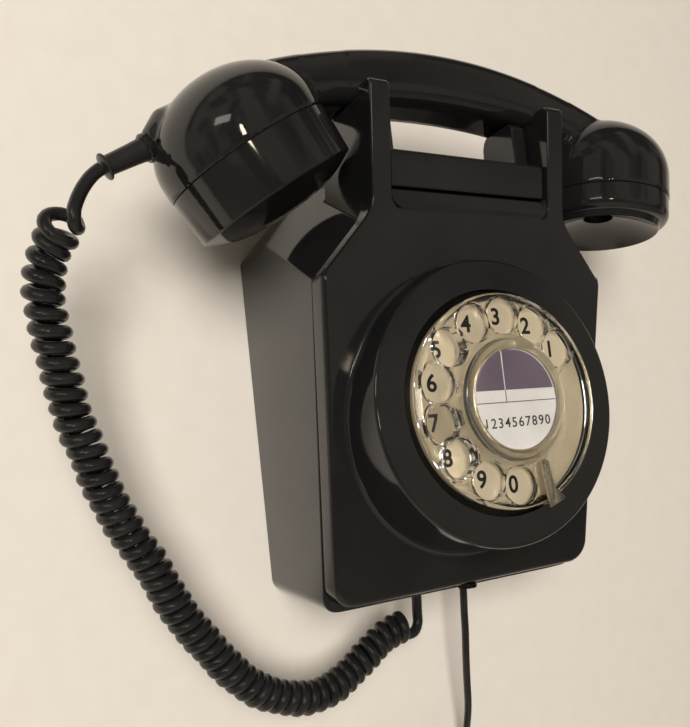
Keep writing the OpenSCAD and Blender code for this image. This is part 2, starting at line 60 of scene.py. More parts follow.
CAMERA_SHIFT_Y = 0.0456


def spun(degrees, axis):
    return Matrix.Rotation(math.radians(degrees), 4, axis)


def make_camera():
    turn = spun(CAMERA_HEADING, "Z") @ spun(CAMERA_TILT, "X")
    turn = turn @ spun(CAMERA_ROLL, "Y") @ spun(90, "X")
    data = bpy.data.cameras.new("camera")
    data.sensor_width = 36
    data.sensor_fit = "HORIZONTAL"
    data.lens = CAMERA_LENS
    data.shift_x = CAMERA_SHIFT_X
    data.shift_y = CAMERA_SHIFT_Y
    data.clip_start = 0.01
    camera = bpy.data.objects.new("camera", data)
    camera.matrix_world = Matrix.Translation(Vector(CAMERA_PLACE)) @ turn
    bpy.context.collection.objects.link(camera)
    bpy.context.scene.camera = camera


make_camera()


# ---- materials ----
# Nearly all of a noise texture's values lie between these two.
NOISE_LOW = 0.3
NOISE_HIGH = 0.7


def new_material(name, color, roughness, metallic=0.0, **sockets):
    mat = bpy.data.materials.new(name)
    mat.use_nodes = True
    shader = mat.node_tree.nodes["Principled BSDF"]
    shader.inputs["Base Color"].default_value = (*color, 1)
    shader.inputs["Roughness"].default_value = roughness
    shader.inputs["Metallic"].default_value = metallic
    for label, value in sockets.items():
        shader.inputs[label.replace("_", " ")].default_value = value
    return mat


def noise_on(mat, scale, detail=4.0, stretch=(1, 1, 1)):
    """A noise texture in object space, returned as its factor socket."""
    tree = mat.node_tree
    where = tree.nodes.new("ShaderNodeTexCoord")
    mapping = tree.nodes.new("ShaderNodeMapping")
    mapping.inputs["Scale"].default_value = stretch
    noise = tree.nodes.new("ShaderNodeTexNoise")
    noise.inputs["Scale"].default_value = scale
    noise.inputs["Detail"].default_value = detail
    tree.links.new(where.outputs["Object"], mapping.inputs["Vector"])
    tree.links.new(mapping.outputs["Vector"], noise.inputs["Vector"])
    return noise.outputs["Fac"]


def vary_roughness(mat, factor, low, high):
    tree = mat.node_tree
    ramp = tree.nodes.new("ShaderNodeMapRange")
    ramp.inputs["From Min"].default_value = NOISE_LOW
    ramp.inputs["From Max"].default_value = NOISE_HIGH
    ramp.inputs["To Min"].default_value = low
    ramp.inputs["To Max"].default_value = high
    tree.links.new(factor, ramp.inputs["Value"])
    tree.links.new(ramp.outputs["Result"], tree.nodes["Principled BSDF"].inputs["Roughness"])


def vary_color(mat, factor, dark, light):
    tree = mat.node_tree
    mix = tree.nodes.new("ShaderNodeValToRGB")
    mix.color_ramp.elements[0].position = NOISE_LOW
    mix.color_ramp.elements[1].position = NOISE_HIGH
    mix.color_ramp.elements[0].color = (*dark, 1)
    mix.color_ramp.elements[1].color = (*light, 1)
    tree.links.new(factor, mix.inputs["Fac"])
    tree.links.new(mix.outputs["Color"], tree.nodes["Principled BSDF"].inputs["Base Color"])


def add_bump(mat, factor, strength, distance):
    tree = mat.node_tree
    bump = tree.nodes.new("ShaderNodeBump")
    bump.inputs["Strength"].default_value = strength
    bump.inputs["Distance"].default_value = distance
    tree.links.new(factor, bump.inputs["Height"])
    tree.links.new(bump.outputs["Normal"], tree.nodes["Principled BSDF"].inputs["Normal"])


def gloss_black(name, dark, light, low, high):
    """Moulded black plastic: handled gloss with faint smears and moulding ripple."""
    mat = new_material(name, dark, low, IOR=1.52)
    vary_color(mat, noise_on(mat, 45), dark, light)
    vary_roughness(mat, noise_on(mat, 70, 6), low, high)
    add_bump(mat, noise_on(mat, 260, 3), 0.02, 0.0002)
    return mat


def brushed(name, color, dark, low, high, stretch, metal=1.0):
    mat = new_material(name, color, low, metal)
    vary_color(mat, noise_on(mat, 60), dark, color)
    vary_roughness(mat, noise_on(mat, 900, 6, stretch), low, high)
    add_bump(mat, noise_on(mat, 1500, 4, stretch), 0.1, 0.00005)
    return mat


def moulded(name, color, dark, low, high):
    mat = new_material(name, color, low)
    vary_color(mat, noise_on(mat, 90), dark, color)
    vary_roughness(mat, noise_on(mat, 180, 5), low, high)
    add_bump(mat, noise_on(mat, 1200, 3), 0.08, 0.00008)
    return mat


def acrylic(name, tint):
    mat = new_material(name, tint, 0.02, Transmission_Weight=1.0, IOR=1.4)
    vary_roughness(mat, noise_on(mat, 150, 5), 0.01, 0.05)
    add_bump(mat, noise_on(mat, 400, 2), 0.04, 0.0001)
    return mat


CASE_BLACK = gloss_black("case_black", (0.0085, 0.0085, 0.009), (0.0125, 0.012, 0.0115), 0.05, 0.12)
HANDSET_BLACK = gloss_black("handset_black", (0.009, 0.0088, 0.0088), (0.013, 0.0125, 0.012), 0.035, 0.085)
CORD_BLACK = moulded("cord_black", (0.016, 0.0155, 0.015), (0.009, 0.009, 0.009), 0.22, 0.36)
SLEEVE_BLACK = moulded("sleeve_black", (0.02, 0.019, 0.018), (0.011, 0.011, 0.011), 0.25, 0.4)
CLEAR = acrylic("clear_acrylic", (0.99, 0.985, 0.965))
CHAMPAGNE = brushed("champagne_plate", (0.72, 0.62, 0.43), (0.65, 0.55, 0.38), 0.3, 0.45, (1, 1, 1), 0.4)
STEEL = brushed("zinc_steel", (0.62, 0.61, 0.58), (0.45, 0.44, 0.42), 0.25, 0.45, (1, 12, 1))
DARK_STEEL = brushed("blackened_steel", (0.045, 0.044, 0.042), (0.025, 0.025, 0.025), 0.3, 0.5, (1, 1, 1))
STOP_METAL = brushed("stop_metal", (0.86, 0.8, 0.68), (0.72, 0.66, 0.55), 0.16, 0.3, (1, 1, 8))
BRASS = brushed("brass", (0.72, 0.52, 0.22), (0.5, 0.34, 0.13), 0.25, 0.4, (1, 8, 1))
BELL_METAL = brushed("bell_metal", (0.75, 0.6, 0.33), (0.6, 0.45, 0.22), 0.18, 0.3, (1, 1, 1))
COPPER = brushed("enamelled_copper", (0.6, 0.24, 0.1), (0.38, 0.13, 0.05), 0.3, 0.5, (1, 1, 30))
BOARD = moulded("resin_board", (0.24, 0.12, 0.045), (0.15, 0.07, 0.025), 0.35, 0.55)
FOIL = moulded("foil_case", (0.5, 0.43, 0.22), (0.35, 0.3, 0.14), 0.3, 0.5)
IVORY = moulded("ivory_plastic", (0.78, 0.72, 0.58), (0.68, 0.6, 0.45), 0.25, 0.4)
CARD_WHITE = moulded("card_white", (0.86, 0.84, 0.82), (0.78, 0.76, 0.74), 0.5, 0.7)
CARD_PURPLE = moulded("card_purple", (0.155, 0.115, 0.165), (0.12, 0.09, 0.13), 0.5, 0.7)
INK = moulded("ink_black", (0.012, 0.012, 0.013), (0.008, 0.008, 0.008), 0.35, 0.5)
WALL_PAINT = moulded("wall_paint", (0.80, 0.745, 0.66), (0.775, 0.715, 0.63), 0.55, 0.75)
FLOOR_PAINT = moulded("floor_paint", (0.62, 0.59, 0.54), (0.57, 0.54, 0.49), 0.5, 0.7)


# ---- mesh helpers ----
# Points closer than these, in metres, count as one.
WELD = 2e-6
HAIR = 1e-7


def make_object(name, mesh):
    piece = bpy.data.objects.new(name, mesh)
    bpy.context.collection.objects.link(piece)
    return piece


def from_parts(name, verts, faces):
    mesh = bpy.data.meshes.new(name)
    mesh.from_pydata([tuple(v) for v in verts], [], faces)
    mesh.validate()
    mesh.update()
    return make_object(name, mesh)


def finish_piece(piece, mat, body, replaces=(), sharp=35):
    piece.data.materials.clear()
    piece.data.materials.append(mat)
    shade(piece, sharp)
    if replaces:
        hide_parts(*replaces)
    if body:
        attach(piece, body)
    return piece


def shade(piece, sharp):
    mesh = piece.data
    mesh.polygons.foreach_set("use_smooth", [True] * len(mesh.polygons))
    mesh.set_sharp_from_angle(angle=math.radians(sharp))


def modifier_applied(piece):
    """Bakes the object's modifiers into its mesh."""
    depsgraph = bpy.context.evaluated_depsgraph_get()
    mesh = bpy.data.meshes.new_from_object(piece.evaluated_get(depsgraph))
    piece.modifiers.clear()
    piece.data = mesh
    return piece


def boolean(piece, cutter, operation="DIFFERENCE"):
    mod = piece.modifiers.new("cut", "BOOLEAN")
    mod.operation = operation
    mod.object = cutter
    mod.solver = "EXACT"
    modifier_applied(piece)
    bpy.data.objects.remove(cutter)
    return piece


def skin(name, rings, closed=True, caps=True):
    """A skin over rings of points, each with the same number of points."""
    count = len(rings[0])
    verts = [p for ring in rings for p in ring]
    faces = []
    last = count if closed else count - 1
    for i in range(len(rings) - 1):
        for j in range(last):
            k = (j + 1) % count
            faces.append((i * count + j, i * count + k, (i + 1) * count + k, (i + 1) * count + j))
    if caps:
        faces.append(tuple(range(count - 1, -1, -1)))
        faces.append(tuple((len(rings) - 1) * count + j for j in range(count)))
    piece = from_parts(name, verts, faces)
    recalculate(piece)
    return piece


def recalculate(piece):
    """Welds points that coincide and makes the normals face out."""
    bm = bmesh.new()
    bm.from_mesh(piece.data)
    bmesh.ops.remove_doubles(bm, verts=bm.verts, dist=HAIR)
    bmesh.ops.recalc_face_normals(bm, faces=bm.faces)
    bm.to_mesh(piece.data)
    bm.free()


def revolve(name, profile, place, steps=128):
    """Turns a closed (r, z) profile, in millimetres, about the place's own z axis."""
    rings = []
    for i in range(steps):
        a = 2 * math.pi * i / steps
        rings.append([place @ Vector((r * math.cos(a) * MM, r * math.sin(a) * MM, z * MM))
                      for r, z in profile])
    count = len(profile)
    verts = [p for ring in rings for p in ring]
    faces = []
    for i in range(steps):
        n = (i + 1) % steps
        for j in range(count):
            k = (j + 1) % count
            faces.append((i * count + j, n * count + j, n * count + k, i * count + k))
    piece = from_parts(name, verts, faces)
    recalculate_axis(piece)
    return piece


def recalculate_axis(piece):
    """Welds points on the axis, drops the collapsed faces and makes the normals face out."""
    bm = bmesh.new()
    bm.from_mesh(piece.data)
    bmesh.ops.remove_doubles(bm, verts=bm.verts, dist=WELD)
    bmesh.ops.dissolve_degenerate(bm, edges=bm.edges, dist=HAIR)
    bmesh.ops.recalc_face_normals(bm, faces=bm.faces)
    bm.to_mesh(piece.data)
    bm.free()


def arc(center, radius, start, end, steps=6):
    return [(center[0] + radius * math.cos(math.radians(start + (end - start) * i / steps)),
             center[1] + radius * math.sin(math.radians(start + (end - start) * i / steps)))
            for i in range(steps + 1)]


def extrude(name, outline, low, high, place):
    """A prism over an (x, y) outline, in millimetres, between two heights of the place's frame."""
    rings = [[place @ Vector((x * MM, y * MM, z * MM)) for x, y in outline] for z in (low, high)]
    return skin(name, rings)


def joined(name, pieces):
    bm = bmesh.new()
    for piece in pieces:
        bm.from_mesh(piece.data)
        bpy.data.objects.remove(piece)
    mesh = bpy.data.meshes.new(name)
    bm.to_mesh(mesh)
    bm.free()
    return make_object(name, mesh)


def place_at(x, depth, z, axis, angle):
    """A frame at a point, in millimetres, turned by an angle, in degrees, about one axis."""
    return Matrix.Translation(Vector((x, -depth, z)) * MM) @ spun(angle, axis)


HANDSET_DEPTH = 67.5
ALONG_DEPTH = spun(90, "X")
DIAL = place_at(0, 94.2, 3, "X", 90 - 2.9)
MOUTH = place_at(-80, HANDSET_DEPTH, 95, "Y", 180 - 33)
EAR = place_at(84, HANDSET_DEPTH, 88.5, "Y", 180 + 7)
ENTRY = place_at(-113, 64, 96, "Y", -119.4)


# ---- cords ----
def smooth_route(points, step):
    """A Catmull-Rom curve through [x, depth, z] points, in millimetres, sampled every step."""
    p = [Vector((x, -d, z)) for x, d, z in points]
    p = [2 * p[0] - p[1]] + p + [2 * p[-1] - p[-2]]
    out = []
    for i in range(1, len(p) - 2):
        parts = max(2, round((p[i + 1] - p[i]).length / step))
        for k in range(parts):
            t = k / parts
            out.append(0.5 * ((2 * p[i]) + (p[i + 1] - p[i - 1]) * t
                              + (2 * p[i - 1] - 5 * p[i] + 4 * p[i + 1] - p[i + 2]) * t * t
                              + (3 * p[i] - p[i - 1] - 3 * p[i + 1] + p[i + 2]) * t ** 3))
    out.append(p[-2])
    return out


def even(points, step):
    """The same polyline with its points a step apart."""
    p = np.array([tuple(v) for v in points])
    s = np.concatenate([[0], np.cumsum(np.linalg.norm(np.diff(p, axis=0), axis=1))])
    at = np.linspace(0, s[-1], max(2, int(round(s[-1] / step)) + 1))
    return [Vector([float(np.interp(a, s, p[:, k])) for k in range(3)]) for a in at]


def frames_along(points):
    """A twist-free frame (tangent, side, up) at each point."""
    tangents = []
    for i in range(len(points)):
        tangents.append((points[min(i + 1, len(points) - 1)] - points[max(i - 1, 0)]).normalized())
    side = tangents[0].orthogonal().normalized()
    result = []
    for i, tangent in enumerate(tangents):
        if i:
            side = tangents[i - 1].rotation_difference(tangent) @ side
        side = (side - tangent * side.dot(tangent)).normalized()
        result.append((tangent, side, tangent.cross(side)))
    return result


def tube(name, points, radius, sides=12):
    rings = []
    for point, (_, side, up) in zip(points, frames_along(points)):
        rings.append([(point + radius * (side * math.cos(2 * math.pi * j / sides)
                                         + up * math.sin(2 * math.pi * j / sides))) * MM
                      for j in range(sides)])
    return skin(name, rings)


# The handset cord's route from the handset to the case: points of x, depth and z, in millimetres.
LEAD = [(-128.7, 64, 87.2), (-131.4, 64.4, 84.8), (-134.6, 65.4, 80.2), (-137.1, 66.6, 74.8),
        (-138.6, 67.8, 69.4), (-139, 68.2, 65.6)]
CURL = [(-140.2, 63.9, 69.6), (-141.2, 61.6, 68.4), (-142.8, 59, 65.8), (-144.6, 57, 62),
        (-146, 55.2, 57.5), (-146.8, 54, 52.5), (-147, 53, 47), (-145, 50, 34), (-143, 48, 24), (-140, 46, 9),
        (-136, 44, -2), (-133, 43, -12), (-128, 41, -24), (-123, 40, -34), (-117, 39, -44), (-112, 38, -55),
        (-106, 37, -66), (-99, 36, -76), (-91, 35, -87), (-81, 34, -97), (-70, 33, -103), (-59, 32, -106),
        (-49, 31, -105), (-40, 30, -101), (-31, 30, -95), (-23, 29, -90.5), (-14, 29, -88)]
TAIL = [(-9.8, 29.2, -94), (-7, 28.7, -93), (-5.5, 28.2, -89), (-5.3, 28, -84), (-5, 28, -78),
        (-5, 28, -71.2)]
CURL_WIRE = 4.4
CURL_MID_R = 4.5

# Spacing of the turns along the cord: (share of the curled length, millimetres a turn).
PITCH = [(0, 5.4), (0.12, 5.5), (0.3, 4.9), (0.5, 4.65), (0.8, 4.45), (1, 4.4)]
STEPS_PER_TURN = 20
# The turns differ slightly in size, and the first few open out from the lead.
TURN_VARIES = 0.03
TURN_VARIES_RATE = 0.37
FIRST_TURNS_WIDER = 0.22
FIRST_TURNS_LENGTH = 8
# How the curls meet the straight ends: lead and tail phases in radians, then overruns in millimetres.
LEAD_PHASE = 0.5
TAIL_PHASE = 0.45
SAME_PHASE = 0.99
END_EARLY = 1.5
END_LATE = 6
RELAX_PASSES = 10
RELAX_REACH = 4


def turn_toward(point, core, side, up):
    """The angle round the core at which a point lies."""
    away = point - core
    return math.atan2(away.dot(up), away.dot(side))


def curl_centreline():
    """The wire's own centreline: a straight lead, the curls, and a straight tail."""
    core = even(smooth_route(CURL, 2.0), 1.0)
    total = len(core) - 1
    frames = frames_along(core)
    lead = even(smooth_route(LEAD, 1.5), 1.5)
    tail = even(smooth_route(TAIL, 1.5), 1.5)
    angle = turn_toward(lead[-1], core[0], frames[0][1], frames[0][2]) - LEAD_PHASE
    last = turn_toward(tail[0], core[-1], frames[-1][1], frames[-1][2])
    curls = []
    at = 0.0
    while True:
        i = min(int(at), total - 1)
        local = min(at - i, 1.0)
        point = core[i].lerp(core[i + 1], local)
        side = frames[i][1].lerp(frames[i + 1][1], local).normalized()
        up = frames[i][2].lerp(frames[i + 1][2], local).normalized()
        wobble = 1 + TURN_VARIES * math.sin(TURN_VARIES_RATE * at)
        wobble += FIRST_TURNS_WIDER * max(0, 1 - at / FIRST_TURNS_LENGTH)
        curls.append(point + CURL_MID_R * wobble * (side * math.cos(angle) + up * math.sin(angle)))
        near_phase = math.cos(angle + TAIL_PHASE - last) > SAME_PHASE
        if at > total - END_EARLY and near_phase:
            break
        if at > total + END_LATE:
            break
        angle -= 2 * math.pi / STEPS_PER_TURN
        at += float(np.interp(at / total, *zip(*PITCH))) / STEPS_PER_TURN
        at = min(at, total + 5)
    wire = lead[:-1] + curls + tail[1:]
    joins = (len(lead) - 1, len(lead) - 1 + len(curls))
    for _ in range(RELAX_PASSES):
        relaxed = list(wire)
        for join in joins:
            for k in range(join - RELAX_REACH, join + RELAX_REACH + 1):
                relaxed[k] = (wire[k - 1] + wire[k] * 2 + wire[k + 1]) / 4
        wire = relaxed
    return wire


def make_curly_cord():
    wire = curl_centreline()
    piece = tube("handset_cord", wire, CURL_WIRE / 2, 12)
    finish_piece(piece, CORD_BLACK, None, ("handset_lead", "handset_curl", "handset_tail"), 60)
    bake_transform(piece)


# The line cord's route down the wall, its storage coil and its plug, in the same terms.
LINE = [(21.5, 25, -71.2), (21.5, 25, -80), (21, 25, -89), (21, 24.5, -98), (21.2, 23, -109),
        (22.2, 20.5, -121), (23.6, 17.5, -134), (25, 12.5, -146), (25.6, 7.5, -156), (24.5, 3.4, -166)]
LINE_WIRE = 3.4
COIL = (2.5, 9.5, -184)
COIL_ENTRY = (22.6, 3.0, -175)
COIL_MID_R = 23
LAY = 3.5
COIL_STEPS = 40
# The share of each turn after which the wire moves over to the next turn's place.
CROSS_FROM = 0.7
PLUG_ROUTE = [(29, 13, -196), (29, 12, -204), (29, 10, -213)]


def coil_points():
    """Nine turns wound in three columns of three, from the inner wall side to the outer front."""
    rows = [(-1, -1), (-1, 0), (-1, 1), (0, 1), (0, 0), (0, -1), (1, -1), (1, 0), (1, 1)]
    out = []
    for n, (dr, dd) in enumerate(rows):
        after = rows[min(n + 1, len(rows) - 1)]
        for k in range(COIL_STEPS):
            t = k / COIL_STEPS
            ease = max(0.0, (t - CROSS_FROM) / 0.3)
            ease = ease * ease * (3 - 2 * ease)
            radius = COIL_MID_R + LAY * (dr + (after[0] - dr) * ease)
            depth = COIL[1] + LAY * (dd + (after[1] - dd) * ease)
            a = -2 * math.pi * t
            out.append((COIL[0] + radius * math.cos(a), depth, COIL[2] + radius * math.sin(a)))
    out.append((COIL[0] + COIL_MID_R + LAY, COIL[1] + LAY, COIL[2]))
    return out


def make_line_cord():
    plug = make_plug()
    points = LINE + [COIL_ENTRY] + coil_points()[1::4] + PLUG_ROUTE
    wire = even(smooth_route(points, 2.0), 2.0)
    piece = tube("line_cord_run", wire, LINE_WIRE / 2, 10)
    finish_piece(piece, CORD_BLACK, "case", ("line_cord", "line_coil"), 60)
    tie = make_tie()


def rounded_box(name, low, high, radius, segments=3):
    """A box from low to high corner, in millimetres of x, depth and z, with rounded edges."""
    x0, d0, z0 = low
    x1, d1, z1 = high
    verts = [Vector((x, -d, z)) * MM for x in (x0, x1) for d in (d0, d1) for z in (z0, z1)]
    faces = [(0, 1, 3, 2), (4, 6, 7, 5), (0, 4, 5, 1), (2, 3, 7, 6), (0, 2, 6, 4), (1, 5, 7, 3)]
    piece = from_parts(name, verts, faces)
    bm = bmesh.new()
    bm.from_mesh(piece.data)
    bmesh.ops.recalc_face_normals(bm, faces=bm.faces)
    bmesh.ops.bevel(bm, geom=bm.edges[:], offset=radius * MM, offset_type="OFFSET", segments=segments,
                    profile=0.5, affect="EDGES")
    bm.to_mesh(piece.data)
    bm.free()
    return piece


def make_plug():
    shell = rounded_box("plug_shell", (23, 6, -234), (35, 14, -213), 1.2)
    tongue = rounded_box("plug_tongue", (25, 8, -238), (33, 12, -233), 0.5)
    grips = [rounded_box(f"plug_grip_{i}", (22.4, 7.5, -219 - 3 * i), (35.6, 12.5, -217.6 - 3 * i), 0.4)
             for i in range(3)]
    for part in [tongue] + grips:
        boolean(shell, part, "UNION")
    shell.name = "line_plug_body"
    return finish_piece(shell, IVORY, "case", ("line_plug",), 30)


def strap_ring(place, radius, across):
    """One loop of the strap: a rounded square round the bundle of turns."""
    outline = []
    for cx, cy, start in ((4, 4, 0), (-4, 4, 90), (-4, -4, 180), (4, -4, 270)):
        outline += arc((cx, cy), radius, start, start + 90, 5)
    return [place @ Vector((x * MM, y * MM, across * MM)) for x, y in outline]


def make_tie():
    """A soft strap wrapped round the coil's turns."""
    place = place_at(COIL[0], COIL[1], COIL[2], "X", 90) @ spun(205, "Z")
    place = place @ Matrix.Translation(Vector((COIL_MID_R * MM, 0, 0))) @ spun(90, "X")
    outside = [(-2, 0), (-1.7, 0.5), (1.7, 0.5), (2, 0)]
    loop = [strap_ring(place, 1.9 + grow, across) for across, grow in outside]
    loop += [strap_ring(place, 1.4, across) for across in (2, -2)]
    piece = skin("coil_strap", loop + [loop[0]], caps=False)
    return finish_piece(piece, SLEEVE_BLACK, "case", ("coil_tie",), 40)


make_curly_cord()
make_line_cord()


# ---- refined mouldings ----
def cleaned(node):
    """A welded copy of a CAD node's mesh with its flat faces whole."""
    bm = bmesh.new()
    bm.from_mesh(nodes[node].data)
    bmesh.ops.remove_doubles(bm, verts=bm.verts, dist=WELD)
    bmesh.ops.dissolve_limit(bm, angle_limit=0.004, verts=bm.verts, edges=bm.edges)
    return bm


def pull_back(piece, node, reach=1.0):
    """Puts the points that a rounded corner threw out back between their neighbours."""
    own = nodes[node].data
    faces = [tuple(f.vertices) for f in own.polygons]
    surface = BVHTree.FromPolygons([v.co for v in own.vertices], faces)
    bm = bmesh.new()
    bm.from_mesh(piece.data)
    strays = [v for v in bm.verts if surface.find_nearest(v.co)[3] > reach * MM]
    for stray in strays:
        near = [e.other_vert(stray) for e in stray.link_edges]
        places = [v.co for v in near if v not in strays] or [surface.find_nearest(stray.co)[0]]
        stray.co = sum(places, Vector()) / len(places)
        nearest, _, _, distance = surface.find_nearest(stray.co)
        if distance > reach * MM:
            stray.co = nearest
    bm.to_mesh(piece.data)
    bm.free()


def refine(node, name, mat, body, width_of, segments=3, least=24):
    """A copy of a CAD node whose sharp edges are rounded by width_of(middle, edge) millimetres."""
    bm = cleaned(node)
    weight = bm.edges.layers.float.new("bevel_weight_edge")
    widest = 0.0
    chosen = []
    for edge in bm.edges:
        if len(edge.link_faces) == 2 and edge.calc_face_angle(0) > math.radians(least):
            middle = (edge.verts[0].co + edge.verts[1].co) / 2 / MM
            width = width_of(Vector((middle.x, -middle.y, middle.z)), edge)
            if width > 0:
                chosen.append((edge, width))
                widest = max(widest, width)
    for edge, width in chosen:
        edge[weight] = width / widest
    mesh = bpy.data.meshes.new(name)
    bm.to_mesh(mesh)
    bm.free()
    piece = make_object(name, mesh)
    mod = piece.modifiers.new("round", "BEVEL")
    mod.limit_method = "WEIGHT"
    mod.width = widest * MM
    mod.segments = segments
    mod.use_clamp_overlap = False
    mod.loop_slide = True
    mod.harden_normals = False
    modifier_applied(piece)
    pull_back(piece, node)
    finish_piece(piece, mat, body, (node,), 50)
    mod = piece.modifiers.new("even", "WEIGHTED_NORMAL")
    mod.keep_sharp = True
    return piece


CASE_BOTTOM = -67
SHOULDER_Z = 49.2
HORN_TOP = 116.5
FACE_DEPTH_BOTTOM = 65
FACE_DEPTH_SHOULDER = 84.6


def face_depth(z):
    """Depth of the cover's flat front at a height, in millimetres."""
    if z < SHOULDER_Z:
        return FACE_DEPTH_BOTTOM + 19.6 * (z - CASE_BOTTOM) / (SHOULDER_Z - CASE_BOTTOM)
    return FACE_DEPTH_SHOULDER + 8.4 * (z - SHOULDER_Z) / (HORN_TOP - SHOULDER_Z)


def in_dial(middle):
    """Radius and height of a point in the dial's own frame, in millimetres."""
    local = DIAL.inverted() @ (Vector((middle.x, -middle.y, middle.z)) * MM)
    return math.hypot(local.x, local.y) / MM, local.z / MM


def cover_width(middle, edge):
    """How far each of the front cover's edges is rounded."""
    radius, height = in_dial(middle)
    behind = face_depth(middle.z) - middle.y
    on_boss_front = abs(height) < 0.2
    on_face = abs(behind) < 0.3
    # Hidden edges inside the dial's opening stay sharp.
    if radius < 41.6:
        return 0
    if radius < 46 and height < -0.5:
        return 0
    # The boss's outer and inner rims.
    if on_boss_front and radius > 51:
        return 1.3
    if on_boss_front and radius < 42:
        return 0.5
    # The lip of the groove between the two mouldings.
    if 8.6 < behind < 9.4 and middle.z < 80:
        return 0.35
    # The hollow corner where the boss rises from the face.
    if not edge.is_convex and 51 < radius < 58 and behind < 1:
        return 1.6
    # The face's outline, narrower up the neck.
    if on_face and abs(middle.x) > 35.4:
        return 2.0 - min(max((middle.z - 60) / 18, 0), 1)
    # The horns and the recess between them.
    if middle.z > 72.5:
        return 0.9 if middle.y > 55 else 0.5
    if on_face:
        return 2.0
    return 0


def rear_width(middle, edge):
    """How far each of the rear case's edges is rounded."""
    if middle.z < -60 and abs(middle.x) < 30:
        return 0
    if not edge.is_convex:
        return 0
    if middle.y < 0.5:
        return 0.5
    return 0.8


def bar_width(middle, edge):
    """How far each of the cradle bar's edges is rounded."""
    return 0.7 if middle.z > 82 and middle.y > 56 else 0


def make_case():
    refine("front_cover", "cover_moulding", CASE_BLACK, "case", cover_width, 4, 20)
    refine("rear_case", "rear_moulding", CASE_BLACK, "case", rear_width, 3, 30)
    refine("cradle_bar", "hook_moulding", CASE_BLACK, "cradle", bar_width, 3, 30)
    # Fills the open corner between the cover's rounder outline and the rear moulding's rim.
    lip = [(59.9, -56), (57, -56)] + arc((51, -58), 6, 0, -90, 5) + [(40, -64), (40, -69.6)]
    lip += arc((54, -64), 5.6, -90, -4, 6)
    for side in (-1, 1):
        outline = [(side * x, z) for x, z in lip]
        piece = extrude(f"joint_corner_{'left' if side < 0 else 'right'}", outline, 44, 54.9, ALONG_DEPTH)
        finish_piece(piece, CASE_BLACK, "case", (), 30)


make_case()


# ---- handset ----
def handle_ring(x, steps=8):
    """The bowed handle's rounded section at x, in millimetres."""
    top = 139.5 - 0.0024 * x * x
    low = 118.6 - 0.0018 * x * x
    half = 12.5
    above = 5
    below = 6.5
    outline = arc((half - above, top - above), above, 5, 85, steps)
    outline += arc((above - half, top - above), above, 95, 175, steps)
    outline += arc((below - half, low + below), below, 185, 265, steps)
    outline += arc((half - below, low + below), below, 275, 355, steps)
    return [Vector((x, -HANDSET_DEPTH - p[0], p[1])) * MM for p in outline]


def dome_profile(radius, skirt, height):
    """Half of a closed outline, from the axis at the seam out and back to the axis at the crown."""
    outer = radius + 0.4
    points = [(0, 0.6), (outer, 0.6), (outer, 0)]
    for i in range(25):
        a = math.radians(90 * i / 24)
        points.append((outer * math.cos(a), -(skirt + (height - skirt) * math.sin(a))))
    points[-1] = (0, points[-1][1])
    return points


def make_handset():
    handle = skin("handle", [handle_ring(x) for x in range(-76, 85, 4)])
    mouth_dome = revolve("mouth_dome", dome_profile(31, 5, 29), MOUTH, 96)
    ear_dome = revolve("ear_dome", dome_profile(30, 10, 37), EAR, 96)
    boss = [(0, -16), (9.6, -16), (9.6, -7.6), (9.2, -7), (5.3, -0.5), (4.8, 0), (0, 0)]
    entry = revolve("entry_boss", boss, ENTRY, 64)
    body = joined("handset_shell", [handle, mouth_dome, ear_dome, entry])
    mod = body.modifiers.new("merge", "REMESH")
    mod.mode = "VOXEL"
    mod.voxel_size = 0.8 * MM
    modifier_applied(body)
    soften_joints(body)
    for place, radius in ((MOUTH, 34), (EAR, 33)):
        boolean(body, revolve("above_seam", [(0, 0), (radius, 0), (radius, 40), (0, 40)], place, 64))
    boolean(body, revolve("mouth_well", [(0, -9), (24, -9), (24, 1), (0, 1)], MOUTH, 96))
    boolean(body, revolve("ear_well", [(0, -12), (23, -12), (23, 1), (0, 1)], EAR, 96))
    finish_piece(body, HANDSET_BLACK, "handset", ("handset_body",), 40)


def soften_joints(body):
    """Relaxes the merged skin: lightly all over, and more where the handle runs into the two bulbs."""
    bm = bmesh.new()
    bm.from_mesh(body.data)
    bm.verts.ensure_lookup_table()
    near = [v for v in bm.verts if 44 < abs(v.co.x / MM) < 62 and v.co.z / MM > 100]
    for verts, passes in ((bm.verts, 5), (near, 14)):
        for _ in range(passes):
            bmesh.ops.smooth_vert(bm, verts=verts, factor=0.5,
                                  use_axis_x=True, use_axis_y=True, use_axis_z=True)
    bm.to_mesh(body.data)
    bm.free()


